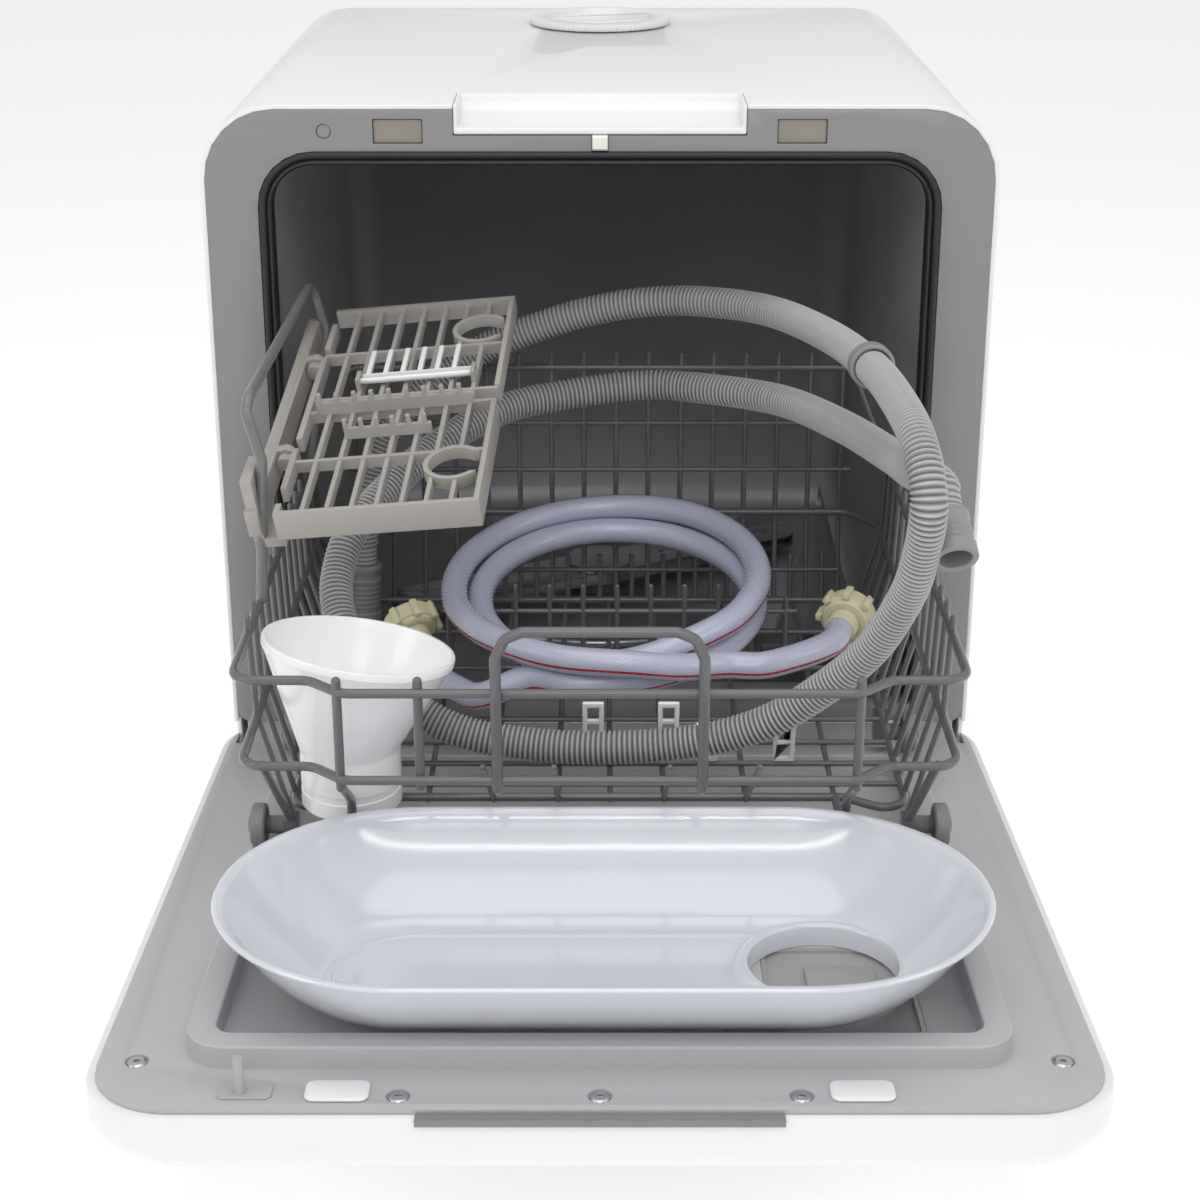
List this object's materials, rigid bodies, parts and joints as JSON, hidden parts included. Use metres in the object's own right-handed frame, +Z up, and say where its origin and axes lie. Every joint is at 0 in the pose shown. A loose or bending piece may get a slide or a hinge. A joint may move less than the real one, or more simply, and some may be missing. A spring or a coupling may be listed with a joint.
{
  "type": "countertop dishwasher",
  "caption": "Compact countertop dishwasher with a drop-down door, roll-out wire rack, folding cup shelf, loose basin, hoses and a filling funnel",
  "frame": {"origin": "on the floor, at the middle of the footprint with the door open and the rack drawn out", "axes": "+X to the right seen from the front, +Y to the back, +Z up; the open door reaches towards -Y"},
  "size_m": [0.42, 0.824, 0.44],
  "materials": {
    "casing_white": "satin powder coat",
    "frame_grey": "satin, fine texture",
    "tub_steel": "satin, fine vertical grain",
    "seal_black": "matt",
    "strike_beige": "satin",
    "latch_white": "gloss",
    "spring_steel": "bright",
    "black_plastic": "satin",
    "white_plastic": "semi-gloss",
    "pan_grey": "textured",
    "foot_rubber": "matt",
    "zinc_steel": "zinc plated",
    "valve_white": "satin",
    "port_grey": "satin",
    "arm_steel": "satin",
    "pump_grey": "matt",
    "heater_steel": "satin",
    "tank_clear": "frosted",
    "door_grey": "satin",
    "pin_grey": "satin",
    "screw_steel": "bright",
    "grip_grey": "satin",
    "dispenser_grey": "satin",
    "board_green": "satin",
    "button_grey": "satin",
    "basin_milky": "gloss, translucent",
    "wire_coat": "smooth dipped coating",
    "clip_white": "satin",
    "wheel_grey": "satin",
    "bail_grey": "smooth dipped coating",
    "shelf_grey": "satin",
    "hose_grey": "satin corrugated",
    "cuff_grey": "satin",
    "inlet_hose_pale": "braided under clear sleeve",
    "nut_khaki": "satin",
    "funnel_white": "gloss"
  },
  "bodies": {
    "cabinet": {"cabinet_shell": "casing_white", "front_frame": "frame_grey", "tub": "tub_steel", "tub_gasket": "seal_black", "strike_plates": "strike_beige", "latch_spring": "spring_steel", "door_switch": "black_plastic", "handle_cup": "white_plastic", "base_pan": "pan_grey", "feet": "foot_rubber", "back_panel": "zinc_steel", "rear_spacers": "pan_grey", "inlet_valve": "valve_white", "drain_port": "port_grey", "cord_gland": "black_plastic", "spray_hub": "port_grey", "sump": "port_grey", "filter": "arm_steel", "wash_pump": "pump_grey", "drain_pump": "pump_grey", "heater": "heater_steel", "water_tank": "tank_clear", "hinge_brackets": "zinc_steel"},
    "door": {"door_shell": "white_plastic", "door_panel": "door_grey", "hinge_pins": "zinc_steel", "magnet_caps": "white_plastic", "door_pin": "pin_grey", "door_screws": "screw_steel", "grip_strip": "grip_grey", "dispenser_body": "dispenser_grey", "control_board": "board_green"},
    "load": {"basin": "basin_milky"},
    "rack": {"rack_frame": "wire_coat", "rack_floor_grid": "wire_coat", "tine_rows": "wire_coat", "tine_clips": "clip_white", "wheel_axles": "wire_coat", "shelf_bail": "bail_grey", "shelf_bracket": "shelf_grey", "drain_hose": "hose_grey", "drain_cuffs": "cuff_grey", "inlet_hose": "inlet_hose_pale", "inlet_coil": "inlet_hose_pale", "inlet_nuts": "nut_khaki", "funnel": "funnel_white"},
    "shelf": {"shelf": "shelf_grey"},
    "shelf_comb": {"shelf_comb": "clip_white"},
    "fill_cap": {"fill_cap": "white_plastic"},
    "latch_piece": {"latch_piece": "latch_white"},
    "switch_plunger": {"switch_plunger": "black_plastic"},
    "spray_arm": {"spray_arm": "arm_steel"},
    "dispenser_lid": {"dispenser_lid": "dispenser_grey"},
    "button_power": {"button_power": "button_grey"},
    "button_program": {"button_program": "button_grey"},
    "button_start": {"button_start": "button_grey"},
    "wheel_front_left": {"wheel_front_left": "wheel_grey"},
    "wheel_front_right": {"wheel_front_right": "wheel_grey"},
    "wheel_rear_left": {"wheel_rear_left": "wheel_grey"},
    "wheel_rear_right": {"wheel_rear_right": "wheel_grey"}
  },
  "joints": [
    {"name": "door_hinge", "type": "hinge", "parent": "cabinet", "child": "door", "pos_m": [0, -0.033, 0.056], "axis": [-1, 0, 0], "range_deg": [0, 86.5]},
    {"name": "load_lift", "type": "slide", "parent": "cabinet", "child": "load", "axis": [0, -0.7001, 0.7141], "range_m": [0, 1.52]},
    {"name": "rack_slide", "type": "slide", "parent": "load", "child": "rack", "axis": [0, 1, 0], "range_m": [0, 0.256]},
    {"name": "shelf_fold", "type": "hinge", "parent": "rack", "child": "shelf", "pos_m": [-0.15928, -0.16364, 0.2642], "axis": [-0.0535, -0.9708, -0.2339], "range_deg": [0, 45]},
    {"name": "comb_flip", "type": "hinge", "parent": "shelf", "child": "shelf_comb", "pos_m": [-0.10436, -0.05574, 0.30404], "axis": [0.9913, -0.0798, 0.1045], "range_deg": [0, 70]},
    {"name": "cap_twist", "type": "hinge", "parent": "cabinet", "child": "fill_cap", "pos_m": [0, 0.3, 0.436], "axis": [0, 0, 1], "range_deg": [0, 60]},
    {"name": "latch_press", "type": "slide", "parent": "cabinet", "child": "latch_piece", "axis": [0, 1, 0], "range_m": [0, 0.003], "stiffness_N_per_m": 300},
    {"name": "plunger_press", "type": "slide", "parent": "cabinet", "child": "switch_plunger", "axis": [0, 1, 0], "range_m": [0, 0.0182]},
    {"name": "spray_spin", "type": "hinge", "parent": "cabinet", "child": "spray_arm", "pos_m": [0, 0.2, 0.096], "axis": [0, 0, 1], "continuous": true},
    {"name": "lid_slide", "type": "slide", "parent": "door", "child": "dispenser_lid", "axis": [0, -0.9981, 0.061], "range_m": [0, 0.018]},
    {"name": "power_press", "type": "slide", "parent": "door", "child": "button_power", "axis": [0, 0.061, 0.9981], "range_m": [0, 0.001], "stiffness_N_per_m": 200},
    {"name": "program_press", "type": "slide", "parent": "door", "child": "button_program", "axis": [0, 0.061, 0.9981], "range_m": [0, 0.001], "stiffness_N_per_m": 200},
    {"name": "start_press", "type": "slide", "parent": "door", "child": "button_start", "axis": [0, 0.061, 0.9981], "range_m": [0, 0.001], "stiffness_N_per_m": 200},
    {"name": "front_left_roll", "type": "hinge", "parent": "rack", "child": "wheel_front_left", "pos_m": [-0.166, -0.187, 0.11712], "axis": [-1, 0, 0], "continuous": true},
    {"name": "front_right_roll", "type": "hinge", "parent": "rack", "child": "wheel_front_right", "pos_m": [0.166, -0.187, 0.11712], "axis": [-1, 0, 0], "continuous": true},
    {"name": "rear_left_roll", "type": "hinge", "parent": "rack", "child": "wheel_rear_left", "pos_m": [-0.166, -0.072, 0.1101], "axis": [-1, 0, 0], "continuous": true},
    {"name": "rear_right_roll", "type": "hinge", "parent": "rack", "child": "wheel_rear_right", "pos_m": [0.166, -0.072, 0.1101], "axis": [-1, 0, 0], "continuous": true}
  ],
  "couplings": [
    {"joint": "load_lift", "follows": "door_hinge", "m_per_rad": 1},
    {"joint": "plunger_press", "follows": "door_hinge", "m_per_rad": 0.0119}
  ]
}
